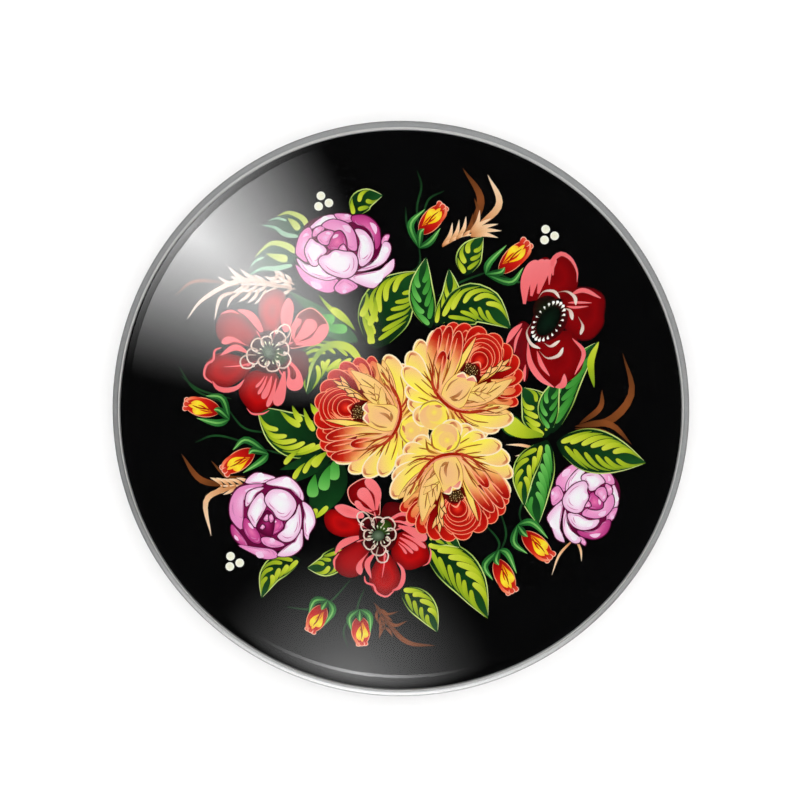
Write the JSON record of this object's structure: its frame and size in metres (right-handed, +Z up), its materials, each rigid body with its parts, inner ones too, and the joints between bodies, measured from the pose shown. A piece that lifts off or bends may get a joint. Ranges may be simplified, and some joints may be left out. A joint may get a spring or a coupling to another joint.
{
  "type": "glass cabochon",
  "caption": "Round domed clear-glass cabochon with a flat back, over a printed folk-art bouquet of bright flowers on a black ground.",
  "frame": {"origin": "centre of the flat back, on the plane the part is glued down by", "axes": "+Z up through the top of the dome; +Y towards the top of the picture; +X to the picture's right"},
  "size_m": [0.025, 0.025, 0.0065],
  "materials": {
    "clear_glass": "polished",
    "clear_glue": "clear",
    "black_ink": "printed",
    "leaf_ink": "printed",
    "spray_ink": "printed",
    "bud_ink": "printed",
    "peony_ink": "printed",
    "poppy_ink": "printed",
    "dahlia_ink": "printed",
    "dot_ink": "printed",
    "photo_paper": "glossy photo paper",
    "sealing_coat": "matt"
  },
  "bodies": {
    "root": {"glass_dome": "clear_glass", "glue_film": "clear_glue", "black_ground": "black_ink", "leaf_ink": "leaf_ink", "spray_ink": "spray_ink", "bud_ink": "bud_ink", "peony_ink": "peony_ink", "poppy_ink": "poppy_ink", "dahlia_ink": "dahlia_ink", "dot_ink": "dot_ink", "picture_paper": "photo_paper", "back_coat": "sealing_coat"}
  },
  "joints": []
}
